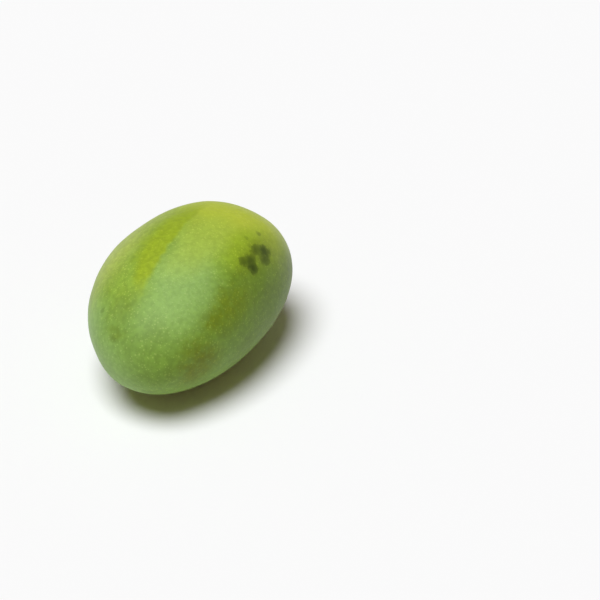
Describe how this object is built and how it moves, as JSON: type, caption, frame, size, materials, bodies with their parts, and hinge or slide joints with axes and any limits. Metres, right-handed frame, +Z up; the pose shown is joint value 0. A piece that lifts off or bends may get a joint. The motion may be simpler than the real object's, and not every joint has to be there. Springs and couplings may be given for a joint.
{
  "type": "mango",
  "caption": "Whole green mango with its cut stem stub, lying on one cheek and resting on a small flat spot.",
  "frame": {"origin": "middle of the small flat spot that the fruit rests on, straight under its centre of weight", "axes": "+Z up; +X along the fruit's long axis towards the stem; +Y towards the fuller back of the fruit"},
  "size_m": [0.1275, 0.0841, 0.0715],
  "materials": {
    "mango_skin": "satin waxy skin with a pale bloom, fine pale dots and green to yellow-green mottling",
    "stem_bark": "rough dark corky bark with a paler cut end"
  },
  "bodies": {
    "root": {"fruit": "mango_skin", "stem": "stem_bark"}
  },
  "joints": []
}
